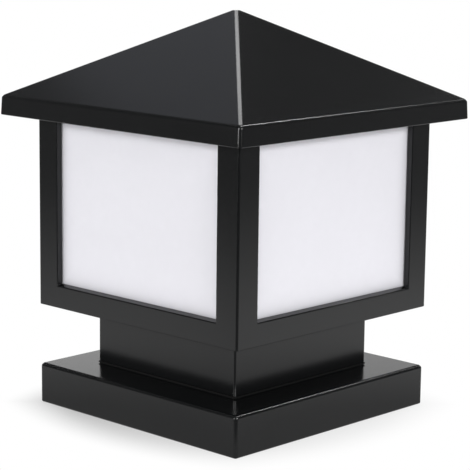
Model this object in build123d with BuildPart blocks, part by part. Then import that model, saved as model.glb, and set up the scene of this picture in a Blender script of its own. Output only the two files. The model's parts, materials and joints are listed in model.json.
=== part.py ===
from build123d import *

import os
from math import atan, cos, radians, sin, sqrt, tan

# Square pillar light for a gate post or wall top: hipped roof, glazed lantern, neck and plinth base.
# Millimetres, +Z up, origin at the centre of the base's underside, front face towards -Y.

# Roof
EAVE_OVERHANG = 20.5
FASCIA_HEIGHT = 14.4
FASCIA_DRAFT = 2.5  # degrees, the fascia flares outwards to its lower edge
FASCIA_RADIUS = 2.4
FOLD_RADIUS = 3.0
ROOF_RISE = 66.7  # from the fold to the point where the four slopes would meet
CAP_WIDTH = 5.0  # small flat at the top of the roof
CAP_CORNER = 2.35  # the hips' rounding in plan, from the fascia's radius at the fold to this at the flat
CAP_RADIUS = 1.0
ROOF_WALL = 2.5
FASCIA_WALL = 3.0
ROOF_LEDGE = 3.5  # step inside the fascia that sits on the gasket
EAVE_DROP = 7.4  # how far the fascia hangs below that ledge
ROOF_SEAL = 1.4
ROOF_BOSS_RADIUS = 6.0
ROOF_BOSS_GAP = 0.3
ROOF_THREAD_DEPTH = 8.0

# Lantern frame
BODY_WIDTH = 209.0
BODY_RADIUS = 1.5
FRAME_HEIGHT = 151.4
FRAME_WALL = 4.8
FRAME_FLOOR = 3.0
POST_WIDTH = 20.85
SILL_HEIGHT = 18.5
SILL_FALL = 1.4  # how far the sill slopes down to its outer edge
TOP_RAIL = 8.4  # from the window's upper edge to the top of the frame
WINDOW_RADIUS = 0.8
FLANGE_THICKNESS = 3.0
FLANGE_GAP = 0.5
CORNER_RIB_WIDTH = 8.0
CORNER_RIB_ROOT = 1.5  # how far a rib runs into the corner of the wall

# Diffusers, seals and retainers
PANEL_THICKNESS = 3.0
PANEL_LAP = 6.0
PANEL_CORNER = 1.0
SEAL_THICKNESS = 0.6
SEAL_SETBACK = 0.8
RETAINER_SHEET = 1.5
RETAINER_WING = 5.0
RETAINER_SETBACK = 7.25  # from the window's ends to the strip's ends
RETAINER_SCREW_INSET = 15.0  # from the strip's ends to its screws
RETAINER_SCREW_LENGTH = 8.0
RIB_HOLE_DEPTH = 9.0

# Neck and its gaskets
NECK_WIDTH = 145.0
NECK_HEIGHT = 43.7
NECK_WALL = 3.0
NECK_RADIUS = 1.5
PORT_RADIUS = 5.0
PORT_INSET = 4.5  # from the tube's inner face to the screw port's centre
NECK_SEAL = 1.0
NECK_SEAL_INSET = 0.5
BASE_SEAL = 1.5
BASE_SEAL_PROUD = 0.6
BASE_SEAL_LIP = 0.8  # height of the part that stands proud
NECK_SCREW_LENGTH = 14.0

# Base and its bracket
BASE_WIDTH = 209.0
BASE_HEIGHT = 31.0
BASE_WALL = 3.0
BASE_PLATE = 3.0
BASE_RADIUS = 2.8
BRACKET_SHEET = 2.0
BRACKET_WIDTH = 50.0
BRACKET_OVERHANG = 8.0  # from a stud's centre to the end of the web
BRACKET_FOOT = 32.0
ANCHOR_HOLE_RADIUS = 3.25
ANCHOR_SPACING = 28.0
STUD_RADIUS = 3.0
STUD_HEAD_RADIUS = 4.5
STUD_HEAD_HEIGHT = 1.0
STUD_INSET = 8.0  # from the base's opening to the stud's centre
STUD_LENGTH = 16.0
STUD_WASHER_RADIUS = 6.0
STUD_WASHER_THICKNESS = 1.6
STUD_GAP = 2.0  # from a stud's washer to the neck's gasket
STUD_NUT_FLATS = 10.0
STUD_NUT_HEIGHT = 5.0

# Screws: M4 for the housing, M3 for the retainers and terminals
M4_RADIUS = 2.0
M4_HEAD_RADIUS = 4.0
M4_HEAD_HEIGHT = 2.6
M3_RADIUS = 1.5
M3_HEAD_RADIUS = 2.75
M3_HEAD_HEIGHT = 1.9
HEAD_ROUND = 0.6
RECESS_SPAN = 0.55  # cross recess, as shares of the head
RECESS_SLOT = 0.13
RECESS_DEPTH = 0.5
THREAD_CLEARANCE = 0.1
HOLE_CLEARANCE = 0.3
THREAD_END_GAP = 1.0  # from a screw's end to the bottom of its hole

# Gear tray and gland
TRAY_SHEET = 1.5
TRAY_SEAL = 1.0
TRAY_LAP = 10.0  # how far the tray lies on the floor round its opening
TRAY_MARGIN = 9.0  # from a neck screw's centre to the floor opening
TRAY_CORNER_GAP = 1.0
TRAY_SCREW_LENGTH = 5.0
GLAND_INSET = 18.0
GLAND_THREAD_RADIUS = 8.0
GLAND_BORE_RADIUS = 5.5
GLAND_FLATS = 20.0
GLAND_FLANGE = 6.0
GLAND_THREAD_ABOVE = 7.0
GLAND_NUT_HEIGHT = 5.0
GLAND_TAIL_RADIUS = 8.2
GLAND_TAIL = 8.0
GLAND_CAP_RADIUS = 10.0
GLAND_CAP_LENGTH = 16.0
GLAND_CAP_LIP = 3.0
GLAND_SEAL_LENGTH = 12.0
CABLE_RADIUS = 4.5

# Terminal block, leads and earth point
TERMINAL_LENGTH = 30.0
TERMINAL_WIDTH = 16.0
TERMINAL_HEIGHT = 15.0
TERMINAL_RADIUS = 1.0
TERMINAL_SHIFT = 8.0
TERMINAL_INSET = 8.0
POLE_SPACING = 9.0
POLE_SCREW_OFFSET = 4.0
FIXING_OFFSET = 4.0
POLE_SCREW_LENGTH = 5.0
LEAD_RADIUS = 1.1
LEAD_HOLE_RADIUS = 1.4
LEAD_HEIGHT = 6.0
LEAD_DEPTH = 4.0
LEAD_STRAIGHT = 4.0
LEAD_BEND = 3.5
EARTH_X = 40.0
EARTH_Y = -30.0
EARTH_RING_RADIUS = 4.5
EARTH_RING_SHEET = 0.8
EARTH_BARREL_RADIUS = 1.9
EARTH_BARREL_LENGTH = 8.0
EARTH_SCREW_LENGTH = 6.0

# Lampholder and its bracket
HOLDER_SHEET = 1.5
HOLDER_LIFT = 10.0
HOLDER_WEB = 52.0
HOLDER_BRACKET_WIDTH = 30.0
HOLDER_FOOT = 16.0
HOLDER_SCREW_LENGTH = 6.0
HOLDER_RADIUS = 23.5
HOLDER_HEIGHT = 44.0
HOLDER_RIM_RADIUS = 2.0
HOLDER_FLOOR = 11.0
HOLDER_LEAD_SPACING = 12.0
HOLDER_LEAD_HEIGHT = 5.5
HOLDER_SCREW_SPACING = 24.0
HOLDER_THREAD_DEPTH = 8.0
SHELL_BORE_RADIUS = 13.6
SHELL_WALL = 0.8
SHELL_HEIGHT = 26.0
SHELL_GAP = 0.2
CONTACT_RADIUS = 4.0
CONTACT_HEIGHT = 2.0

# Bulb
TIP_RADIUS = 4.8
TIP_HEIGHT = 1.6
INSULATOR_RADIUS = 7.0
INSULATOR_HEIGHT = 4.0
CAP_ROOT_RADIUS = 12.3
CAP_CREST_RADIUS = 13.1
CAP_PITCH = 3.629
CAP_TURNS = 4
CAP_COLLAR = 6.9
CAP_WALL = 0.6
BULB_NECK_RADIUS = 13.8
BULB_NECK_HEIGHT = 5.5
HOUSING_RADIUS = 28.5
HOUSING_HEIGHT = 34.0
HOUSING_TOP = 2.0
HOUSING_WALL = 1.5
GLOBE_RADIUS = 30.0
GLOBE_RISE = 40.0
GLOBE_WALL = 1.2

# Heights, stacked from the ground up
base_plate_bottom = BASE_HEIGHT - BASE_PLATE
neck_bottom = BASE_HEIGHT + BASE_SEAL
neck_top = neck_bottom + NECK_HEIGHT
frame_bottom = neck_top + NECK_SEAL
floor_top = frame_bottom + FRAME_FLOOR
window_bottom = frame_bottom + SILL_HEIGHT
window_height = FRAME_HEIGHT - SILL_HEIGHT - TOP_RAIL
window_middle = window_bottom + window_height / 2
frame_top = frame_bottom + FRAME_HEIGHT
flange_bottom = frame_top - FLANGE_THICKNESS
roof_seat = frame_top + ROOF_SEAL
eave = roof_seat - EAVE_DROP
fold = eave + FASCIA_HEIGHT
tray_bottom = floor_top + TRAY_SEAL
tray_top = tray_bottom + TRAY_SHEET
holder_seat = tray_top + HOLDER_LIFT
socket_floor = holder_seat + HOLDER_FLOOR
bulb_tip = socket_floor + CONTACT_HEIGHT

# Half widths and screw places, measured from the axis
body_half = BODY_WIDTH / 2
wall_inside = body_half - FRAME_WALL
window_width = BODY_WIDTH - 2 * POST_WIDTH
panel_width = window_width + 2 * PANEL_LAP
panel_height = window_height + 2 * PANEL_LAP
panel_inside = wall_inside - SEAL_THICKNESS - PANEL_THICKNESS
roof_half = body_half + EAVE_OVERHANG
fold_half = roof_half - FASCIA_HEIGHT * tan(radians(FASCIA_DRAFT))
skirt_inside = roof_half - FASCIA_WALL
ledge_inside = skirt_inside - ROOF_LEDGE
flange_half = skirt_inside - FLANGE_GAP
roof_screw_place = (body_half + flange_half) / 2
neck_inside = NECK_WIDTH / 2 - NECK_WALL
port_place = neck_inside - PORT_INSET
opening_half = port_place - TRAY_MARGIN
tray_half = opening_half + TRAY_LAP
tray_screw_place = opening_half + TRAY_LAP / 2
gland_place = -(opening_half - GLAND_INSET)
stud_place = port_place - PORT_RADIUS - STUD_WASHER_RADIUS - STUD_GAP
base_opening_half = stud_place - STUD_INSET
bracket_half = stud_place + BRACKET_OVERHANG

# The four faces and the four corners, as turns about the axis
FACES = {"front": -90, "right": 0, "back": 90, "left": 180}
CORNERS = {"front_right": -45, "back_right": 45, "back_left": 135, "front_left": 225}

os.makedirs("parts", exist_ok=True)


def write_piece(builder, name):
    """Label a finished piece and write it under its own name."""
    builder.part.label = name
    export_step(builder.part, f"parts/{name}.step")


def side_plane(turn, distance):
    """Upright plane that faces outwards at a distance from the axis, its own y pointing up."""
    out = (cos(radians(turn)), sin(radians(turn)), 0)
    along = (-out[1], out[0], 0)
    return Plane(origin=(distance * out[0], distance * out[1], 0), x_dir=along, z_dir=out)


def seats(spots, height, way):
    """Planes on a level seat at each spot, facing up (1) or down (-1)."""
    return [Plane(origin=(x, y, height), z_dir=(0, 0, way)) for x, y in spots]


def square(place):
    """Four corner spots of a square pattern."""
    return [(x, y) for x in (-place, place) for y in (-place, place)]


def pan_screws(planes, radius, head_radius, head_height, length):
    """Pan head screws with a cross recess: heads stand on the planes, shanks run back through them."""
    slot_long = 2 * head_radius * RECESS_SPAN
    slot_wide = 2 * head_radius * RECESS_SLOT
    with BuildPart() as screw:
        with BuildSketch():
            Circle(head_radius)
        extrude(amount=head_height)
        fillet(screw.edges().sort_by(Axis.Z)[-1], HEAD_ROUND)
        with BuildSketch(Plane.XY.offset(head_height)):
            Rectangle(slot_long, slot_wide)
            Rectangle(slot_wide, slot_long)
        extrude(amount=-head_height * RECESS_DEPTH, mode=Mode.SUBTRACT)
        with BuildSketch():
            Circle(radius)
        extrude(amount=-length)
    with BuildPart() as screws:
        with Locations(*planes):
            add(screw.part)
    return screws


def m4_screws(planes, length):
    """M4 pan head screws."""
    return pan_screws(planes, M4_RADIUS, M4_HEAD_RADIUS, M4_HEAD_HEIGHT, length)


def m3_screws(planes, length):
    """M3 pan head screws."""
    return pan_screws(planes, M3_RADIUS, M3_HEAD_RADIUS, M3_HEAD_HEIGHT, length)


# Base: a plinth shell, open below, with an opening for the cable inside the neck
with BuildPart() as base:
    with BuildSketch():
        RectangleRounded(BASE_WIDTH, BASE_WIDTH, BASE_RADIUS)
    extrude(amount=BASE_HEIGHT)
    fillet(base.faces().sort_by(Axis.Z)[-1].edges(), BASE_RADIUS)
    with BuildSketch():
        Rectangle(BASE_WIDTH - 2 * BASE_WALL, BASE_WIDTH - 2 * BASE_WALL)
    extrude(amount=base_plate_bottom, mode=Mode.SUBTRACT)
    with BuildSketch(Plane.XY.offset(base_plate_bottom)):
        Rectangle(2 * base_opening_half, 2 * base_opening_half)
        with GridLocations(2 * port_place, 2 * port_place, 2, 2):
            Circle(M4_RADIUS + HOLE_CLEARANCE)
        with GridLocations(2 * stud_place, 0, 2, 1):
            Circle(STUD_RADIUS + HOLE_CLEARANCE)
    extrude(amount=BASE_PLATE, mode=Mode.SUBTRACT)
write_piece(base, "base")

# Mounting bracket: a hat strip, feet on the pillar, web under the base's plate
with BuildPart() as mounting_bracket:
    with BuildSketch(Plane.XZ.offset(-BRACKET_WIDTH / 2)):
        with BuildLine():
            Polyline(
                (-bracket_half - BRACKET_FOOT, 0),
                (-bracket_half + BRACKET_SHEET, 0),
                (-bracket_half + BRACKET_SHEET, base_plate_bottom - BRACKET_SHEET),
                (bracket_half - BRACKET_SHEET, base_plate_bottom - BRACKET_SHEET),
                (bracket_half - BRACKET_SHEET, 0),
                (bracket_half + BRACKET_FOOT, 0),
                (bracket_half + BRACKET_FOOT, BRACKET_SHEET),
                (bracket_half, BRACKET_SHEET),
                (bracket_half, base_plate_bottom),
                (-bracket_half, base_plate_bottom),
                (-bracket_half, BRACKET_SHEET),
                (-bracket_half - BRACKET_FOOT, BRACKET_SHEET),
                close=True,
            )
        make_face()
    extrude(amount=BRACKET_WIDTH)
    with BuildSketch():
        with GridLocations(2 * bracket_half + BRACKET_FOOT, ANCHOR_SPACING, 2, 2):
            Circle(ANCHOR_HOLE_RADIUS)
    extrude(amount=BRACKET_SHEET, mode=Mode.SUBTRACT)
    with BuildSketch(Plane.XY.offset(base_plate_bottom)):
        with GridLocations(2 * stud_place, 0, 2, 1):
            Circle(STUD_RADIUS + THREAD_CLEARANCE)
    extrude(amount=-BRACKET_SHEET, mode=Mode.SUBTRACT)
write_piece(mounting_bracket, "mounting_bracket")

# Studs of the bracket, heads under the web
stud_seat = base_plate_bottom - BRACKET_SHEET
with BuildPart() as bracket_studs:
    with BuildSketch(Plane.XY.offset(stud_seat)):
        with GridLocations(2 * stud_place, 0, 2, 1):
            Circle(STUD_HEAD_RADIUS)
    extrude(amount=-STUD_HEAD_HEIGHT)
    with BuildSketch(Plane.XY.offset(stud_seat)):
        with GridLocations(2 * stud_place, 0, 2, 1):
            Circle(STUD_RADIUS)
    extrude(amount=STUD_LENGTH)
write_piece(bracket_studs, "bracket_studs")

with BuildPart() as stud_washers:
    with BuildSketch(Plane.XY.offset(BASE_HEIGHT)):
        with GridLocations(2 * stud_place, 0, 2, 1):
            Circle(STUD_WASHER_RADIUS)
            Circle(STUD_RADIUS + HOLE_CLEARANCE, mode=Mode.SUBTRACT)
    extrude(amount=STUD_WASHER_THICKNESS)
write_piece(stud_washers, "stud_washers")

with BuildPart() as stud_nuts:
    with BuildSketch(Plane.XY.offset(BASE_HEIGHT + STUD_WASHER_THICKNESS)):
        with GridLocations(2 * stud_place, 0, 2, 1):
            RegularPolygon(STUD_NUT_FLATS / 2, 6, major_radius=False)
            Circle(STUD_RADIUS + THREAD_CLEARANCE, mode=Mode.SUBTRACT)
    extrude(amount=STUD_NUT_HEIGHT)
write_piece(stud_nuts, "stud_nuts")

# Neck: a square tube with a screw port in each corner
with BuildPart() as neck:
    with BuildSketch(Plane.XY.offset(neck_bottom)):
        RectangleRounded(NECK_WIDTH, NECK_WIDTH, NECK_RADIUS)
        Rectangle(2 * neck_inside, 2 * neck_inside, mode=Mode.SUBTRACT)
        with GridLocations(2 * port_place, 2 * port_place, 2, 2):
            Circle(PORT_RADIUS)
            Circle(M4_RADIUS + THREAD_CLEARANCE, mode=Mode.SUBTRACT)
    extrude(amount=NECK_HEIGHT)
write_piece(neck, "neck")


def neck_gasket(bottom, thickness, width):
    """Flat square ring under an end of the neck, wide enough to go round its screws."""
    with BuildPart() as gasket:
        with BuildSketch(Plane.XY.offset(bottom)):
            RectangleRounded(width, width, NECK_RADIUS)
            Rectangle(2 * (port_place - PORT_RADIUS), 2 * (port_place - PORT_RADIUS), mode=Mode.SUBTRACT)
            with GridLocations(2 * port_place, 2 * port_place, 2, 2):
                Circle(M4_RADIUS + HOLE_CLEARANCE, mode=Mode.SUBTRACT)
        extrude(amount=thickness)
    return gasket


with BuildPart() as neck_base_gasket:
    add(neck_gasket(BASE_HEIGHT, BASE_SEAL, NECK_WIDTH).part)
    with BuildSketch(Plane.XY.offset(neck_bottom - BASE_SEAL_LIP)):
        lip_width = NECK_WIDTH + 2 * BASE_SEAL_PROUD
        RectangleRounded(lip_width, lip_width, NECK_RADIUS)
        Rectangle(2 * neck_inside, 2 * neck_inside, mode=Mode.SUBTRACT)
    extrude(amount=BASE_SEAL_LIP)
write_piece(neck_base_gasket, "neck_base_gasket")
neck_top_gasket = neck_gasket(neck_top, NECK_SEAL, NECK_WIDTH - 2 * NECK_SEAL_INSET)
write_piece(neck_top_gasket, "neck_top_gasket")

neck_base_screws = m4_screws(seats(square(port_place), base_plate_bottom, -1), NECK_SCREW_LENGTH)
write_piece(neck_base_screws, "neck_base_screws")
neck_frame_screws = m4_screws(seats(square(port_place), floor_top, 1), NECK_SCREW_LENGTH)
write_piece(neck_frame_screws, "neck_frame_screws")

# Retainer strips: two wings on the panels' edges and a slanted middle on the frame's corner rib.
# The bend's offset keeps one sheet thickness round the 45 degree corners.
bend = RETAINER_SHEET / 2 * tan(radians(45) / 2)
wing_start = panel_width / 2 - RETAINER_WING
wing_inner = panel_inside - RETAINER_SHEET
middle_face = (panel_width / 2 + panel_inside - RETAINER_SHEET / 2) / sqrt(2)
rib_face = middle_face + RETAINER_SHEET / 2
rib_root = wall_inside * sqrt(2) + CORNER_RIB_ROOT
retainer_bottom = window_bottom + RETAINER_SETBACK
retainer_height = window_height - 2 * RETAINER_SETBACK
retainer_screw_heights = (
    retainer_bottom + RETAINER_SCREW_INSET,
    retainer_bottom + retainer_height - RETAINER_SCREW_INSET,
)
half_outline = [
    (wing_start, panel_inside),
    (panel_width / 2 + bend, panel_inside),
]
half_inline = [
    (panel_width / 2 - bend, wing_inner),
    (wing_start, wing_inner),
]
retainer_outline = (
    half_outline
    + [(y, x) for x, y in reversed(half_outline)]
    + [(y, x) for x, y in reversed(half_inline)]
    + half_inline
)

retainer_seats = []
for corner, turn in CORNERS.items():
    face = side_plane(turn, middle_face - RETAINER_SHEET / 2)
    with BuildPart() as retainer:
        with BuildSketch(Plane.XY.offset(retainer_bottom).rotated((0, 0, turn - 45))):
            with BuildLine():
                Polyline(*retainer_outline, close=True)
            make_face()
        extrude(amount=retainer_height)
        with BuildSketch(face):
            with Locations(*[(0, height) for height in retainer_screw_heights]):
                Circle(M3_RADIUS + HOLE_CLEARANCE)
        extrude(amount=RETAINER_SHEET, mode=Mode.SUBTRACT)
    write_piece(retainer, f"corner_retainer_{corner}")
    for height in retainer_screw_heights:
        seat = face.origin + Vector(0, 0, height)
        retainer_seats.append(Plane(origin=seat, x_dir=face.x_dir, z_dir=-face.z_dir))

retainer_screws = m3_screws(retainer_seats, RETAINER_SCREW_LENGTH)
write_piece(retainer_screws, "retainer_screws")

# Lantern frame: four posts, sills and a top flange in one casting, with a rib in each corner
with BuildPart() as lantern_frame:
    with BuildSketch(Plane.XY.offset(frame_bottom)):
        RectangleRounded(BODY_WIDTH, BODY_WIDTH, BODY_RADIUS)
    extrude(amount=FRAME_HEIGHT)
    with BuildSketch(Plane.XY.offset(floor_top)):
        Rectangle(2 * wall_inside, 2 * wall_inside)
    extrude(amount=FRAME_HEIGHT - FRAME_FLOOR, mode=Mode.SUBTRACT)
    for turn in FACES.values():
        with BuildSketch(side_plane(turn, wall_inside)):
            with Locations((0, window_middle)):
                Rectangle(window_width, window_height)
        with BuildSketch(side_plane(turn, body_half)):
            with Locations((0, window_middle - SILL_FALL / 2)):
                Rectangle(window_width, window_height + SILL_FALL)
        loft(ruled=True, mode=Mode.SUBTRACT)
    for axis in (Axis.X, Axis.Y):
        walls = lantern_frame.faces().filter_by(axis).sort_by(axis)
        for outer_face in (walls[0], walls[-1]):
            fillet(outer_face.inner_wires()[0].edges(), WINDOW_RADIUS)
    with BuildSketch(Plane.XY.offset(flange_bottom)):
        RectangleRounded(2 * flange_half, 2 * flange_half, BODY_RADIUS)
        Rectangle(2 * wall_inside, 2 * wall_inside, mode=Mode.SUBTRACT)
        with GridLocations(2 * roof_screw_place, 2 * roof_screw_place, 2, 2):
            Circle(M4_RADIUS + HOLE_CLEARANCE, mode=Mode.SUBTRACT)
    extrude(amount=FLANGE_THICKNESS)
    with BuildSketch(Plane.XY.offset(floor_top)):
        with PolarLocations((rib_face + rib_root) / 2, 4, start_angle=45):
            Rectangle(rib_root - rib_face, CORNER_RIB_WIDTH)
    extrude(amount=flange_bottom - floor_top)
    for turn in CORNERS.values():
        with BuildSketch(side_plane(turn, rib_face)):
            with Locations(*[(0, height) for height in retainer_screw_heights]):
                Circle(M3_RADIUS + THREAD_CLEARANCE)
        extrude(amount=RIB_HOLE_DEPTH, mode=Mode.SUBTRACT)
    with BuildSketch(Plane.XY.offset(frame_bottom)):
        Rectangle(2 * opening_half, 2 * opening_half)
        with GridLocations(2 * port_place, 2 * port_place, 2, 2):
            Circle(M4_RADIUS + HOLE_CLEARANCE)
        with PolarLocations(tray_screw_place, 4):
            Circle(M4_RADIUS + THREAD_CLEARANCE)
    extrude(amount=FRAME_FLOOR, mode=Mode.SUBTRACT)
write_piece(lantern_frame, "lantern_frame")

# Diffusers and their seals, one pair behind each window
for face_name, turn in FACES.items():
    with BuildPart() as diffuser:
        with BuildSketch(side_plane(turn, panel_inside)):
            with Locations((0, window_middle)):
                RectangleRounded(panel_width, panel_height, PANEL_CORNER)
        extrude(amount=PANEL_THICKNESS)
    write_piece(diffuser, f"diffuser_{face_name}")
    with BuildPart() as diffuser_seal:
        with BuildSketch(side_plane(turn, panel_inside + PANEL_THICKNESS)):
            with Locations((0, window_middle)):
                RectangleRounded(panel_width, panel_height, PANEL_CORNER)
                Rectangle(
                    window_width + 2 * SEAL_SETBACK,
                    window_height + 2 * SEAL_SETBACK,
                    mode=Mode.SUBTRACT,
                )
        extrude(amount=SEAL_THICKNESS)
    write_piece(diffuser_seal, f"diffuser_seal_{face_name}")

# Roof: fascia and four slopes, hollow inside, with a screw boss in each corner
pitch = ROOF_RISE / fold_half
wall_drop = ROOF_WALL / cos(atan(pitch))


def slope_height(half_width):
    """Height of the outer slope at a distance from the axis."""
    return fold + (fold_half - half_width) * pitch


with BuildPart() as roof_form:
    with BuildSketch(Plane.XY.offset(eave)):
        RectangleRounded(2 * roof_half, 2 * roof_half, FASCIA_RADIUS)
    with BuildSketch(Plane.XY.offset(fold)):
        RectangleRounded(2 * fold_half, 2 * fold_half, FASCIA_RADIUS)
    loft(ruled=True)
    with BuildSketch(Plane.XY.offset(fold)):
        RectangleRounded(2 * fold_half, 2 * fold_half, FASCIA_RADIUS)
    with BuildSketch(Plane.XY.offset(slope_height(CAP_WIDTH / 2))):
        RectangleRounded(CAP_WIDTH, CAP_WIDTH, CAP_CORNER)
    loft(ruled=True)
    fold_edges = roof_form.edges().filter_by_position(Axis.Z, fold, fold)
    fillet(fold_edges, FOLD_RADIUS)
    fillet(roof_form.faces().sort_by(Axis.Z)[-1].edges(), CAP_RADIUS)

with BuildPart() as roof_bosses:
    with BuildSketch(Plane.XY.offset(roof_seat + ROOF_BOSS_GAP)):
        with GridLocations(2 * roof_screw_place, 2 * roof_screw_place, 2, 2):
            Circle(ROOF_BOSS_RADIUS)
    extrude(amount=slope_height(0) - roof_seat)
    add(roof_form.part, mode=Mode.INTERSECT)

with BuildPart() as roof:
    add(roof_form.part)
    with BuildSketch(Plane.XY.offset(eave)):
        Rectangle(2 * skirt_inside, 2 * skirt_inside)
    extrude(amount=EAVE_DROP, mode=Mode.SUBTRACT)
    ledge_spring = slope_height(ledge_inside) - wall_drop
    with BuildSketch(Plane.XY.offset(roof_seat)):
        Rectangle(2 * ledge_inside, 2 * ledge_inside)
    extrude(amount=ledge_spring - roof_seat, mode=Mode.SUBTRACT)
    with BuildSketch(Plane.XY.offset(ledge_spring)):
        Rectangle(2 * ledge_inside, 2 * ledge_inside)
    with BuildSketch(Plane.XY.offset(slope_height(CAP_WIDTH / 2) - wall_drop)):
        Rectangle(CAP_WIDTH, CAP_WIDTH)
    loft(ruled=True, mode=Mode.SUBTRACT)
    add(roof_bosses.part)
    with BuildSketch(Plane.XY.offset(roof_seat + ROOF_BOSS_GAP)):
        with GridLocations(2 * roof_screw_place, 2 * roof_screw_place, 2, 2):
            Circle(M4_RADIUS + THREAD_CLEARANCE)
    extrude(amount=ROOF_THREAD_DEPTH, mode=Mode.SUBTRACT)
write_piece(roof, "roof")

with BuildPart() as roof_gasket:
    with BuildSketch(Plane.XY.offset(frame_top)):
        RectangleRounded(2 * flange_half, 2 * flange_half, BODY_RADIUS)
        Rectangle(2 * ledge_inside, 2 * ledge_inside, mode=Mode.SUBTRACT)
    extrude(amount=ROOF_SEAL)
write_piece(roof_gasket, "roof_gasket")

roof_screw_length = FLANGE_THICKNESS + ROOF_SEAL + ROOF_THREAD_DEPTH - THREAD_END_GAP
roof_screws = m4_screws(seats(square(roof_screw_place), flange_bottom, -1), roof_screw_length)
write_piece(roof_screws, "roof_screws")

# Gear tray and its gasket: a plate over the floor's opening, corners cut clear of the neck's screws
corner_cut = 2 * tray_half - (2 * port_place - sqrt(2) * (M4_HEAD_RADIUS + TRAY_CORNER_GAP))
terminal_y = -(opening_half - TERMINAL_INSET)
fixing_spot = (TERMINAL_SHIFT + POLE_SPACING / 2, terminal_y - FIXING_OFFSET)
holder_foot_place = HOLDER_WEB / 2 + HOLDER_FOOT / 2


def tray_outline():
    """Square of the tray with its corners cut off."""
    outline = Rectangle(2 * tray_half, 2 * tray_half)
    chamfer(outline.vertices(), corner_cut)


with BuildPart() as tray_gasket:
    with BuildSketch(Plane.XY.offset(floor_top)):
        tray_outline()
        Rectangle(2 * opening_half, 2 * opening_half, mode=Mode.SUBTRACT)
        with PolarLocations(tray_screw_place, 4):
            Circle(M4_RADIUS + HOLE_CLEARANCE, mode=Mode.SUBTRACT)
    extrude(amount=TRAY_SEAL)
write_piece(tray_gasket, "tray_gasket")

with BuildPart() as gear_tray:
    with BuildSketch(Plane.XY.offset(tray_bottom)):
        tray_outline()
        with PolarLocations(tray_screw_place, 4):
            Circle(M4_RADIUS + HOLE_CLEARANCE, mode=Mode.SUBTRACT)
        with Locations((gland_place, gland_place)):
            Circle(GLAND_THREAD_RADIUS + HOLE_CLEARANCE, mode=Mode.SUBTRACT)
        with Locations((-holder_foot_place, 0), (holder_foot_place, 0), (EARTH_X, EARTH_Y)):
            Circle(M4_RADIUS + THREAD_CLEARANCE, mode=Mode.SUBTRACT)
        with Locations(fixing_spot):
            Circle(M3_RADIUS + THREAD_CLEARANCE, mode=Mode.SUBTRACT)
    extrude(amount=TRAY_SHEET)
write_piece(gear_tray, "gear_tray")

tray_screw_spots = [
    (tray_screw_place, 0),
    (0, tray_screw_place),
    (-tray_screw_place, 0),
    (0, -tray_screw_place),
]
tray_screws = m4_screws(seats(tray_screw_spots, tray_top, 1), TRAY_SCREW_LENGTH)
write_piece(tray_screws, "tray_screws")

# Cable gland: body through the tray, locknut above, cap and rubber seal below
gland_spot = (gland_place, gland_place)
flange_low = tray_bottom - GLAND_FLANGE
tail_low = flange_low - GLAND_TAIL
cap_low = flange_low - GLAND_CAP_LENGTH
seal_low = cap_low + GLAND_CAP_LIP

with BuildPart() as gland_body:
    with BuildSketch(Plane.XY.offset(flange_low)):
        with Locations(gland_spot):
            RegularPolygon(GLAND_FLATS / 2, 6, major_radius=False)
    extrude(amount=GLAND_FLANGE)
    with BuildSketch(Plane.XY.offset(tray_bottom)):
        with Locations(gland_spot):
            Circle(GLAND_THREAD_RADIUS)
    extrude(amount=TRAY_SHEET + GLAND_THREAD_ABOVE)
    with BuildSketch(Plane.XY.offset(flange_low)):
        with Locations(gland_spot):
            Circle(GLAND_TAIL_RADIUS)
    extrude(amount=-GLAND_TAIL)
    with BuildSketch(Plane.XY.offset(seal_low + GLAND_SEAL_LENGTH)):
        with Locations(gland_spot):
            Circle(GLAND_BORE_RADIUS)
    extrude(amount=tray_top + GLAND_THREAD_ABOVE - seal_low - GLAND_SEAL_LENGTH, mode=Mode.SUBTRACT)
    with BuildSketch(Plane.XY.offset(tail_low)):
        with Locations(gland_spot):
            Circle(GLAND_BORE_RADIUS + GLAND_CAP_LIP / 2)
    extrude(amount=seal_low + GLAND_SEAL_LENGTH - tail_low, mode=Mode.SUBTRACT)
write_piece(gland_body, "gland_body")

with BuildPart() as gland_seal:
    with BuildSketch(Plane.XY.offset(seal_low)):
        with Locations(gland_spot):
            Circle(GLAND_BORE_RADIUS + GLAND_CAP_LIP / 2 - THREAD_CLEARANCE)
            Circle(CABLE_RADIUS, mode=Mode.SUBTRACT)
    extrude(amount=GLAND_SEAL_LENGTH)
write_piece(gland_seal, "gland_seal")

with BuildPart() as gland_cap:
    with BuildSketch(Plane.XY.offset(cap_low)):
        with Locations(gland_spot):
            Circle(GLAND_CAP_RADIUS)
    extrude(amount=GLAND_CAP_LENGTH)
    fillet(gland_cap.faces().sort_by(Axis.Z)[0].edges(), GLAND_CAP_LIP / 2)
    with BuildSketch(Plane.XY.offset(cap_low)):
        with Locations(gland_spot):
            Circle(GLAND_BORE_RADIUS)
    extrude(amount=GLAND_CAP_LENGTH, mode=Mode.SUBTRACT)
    with BuildSketch(Plane.XY.offset(seal_low)):
        with Locations(gland_spot):
            Circle(GLAND_TAIL_RADIUS + THREAD_CLEARANCE)
    extrude(amount=GLAND_CAP_LENGTH, mode=Mode.SUBTRACT)
write_piece(gland_cap, "gland_cap")

with BuildPart() as gland_locknut:
    with BuildSketch(Plane.XY.offset(tray_top)):
        with Locations(gland_spot):
            RegularPolygon(GLAND_FLATS / 2, 6, major_radius=False)
            Circle(GLAND_THREAD_RADIUS + THREAD_CLEARANCE, mode=Mode.SUBTRACT)
    extrude(amount=GLAND_NUT_HEIGHT)
write_piece(gland_locknut, "gland_locknut")

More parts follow.
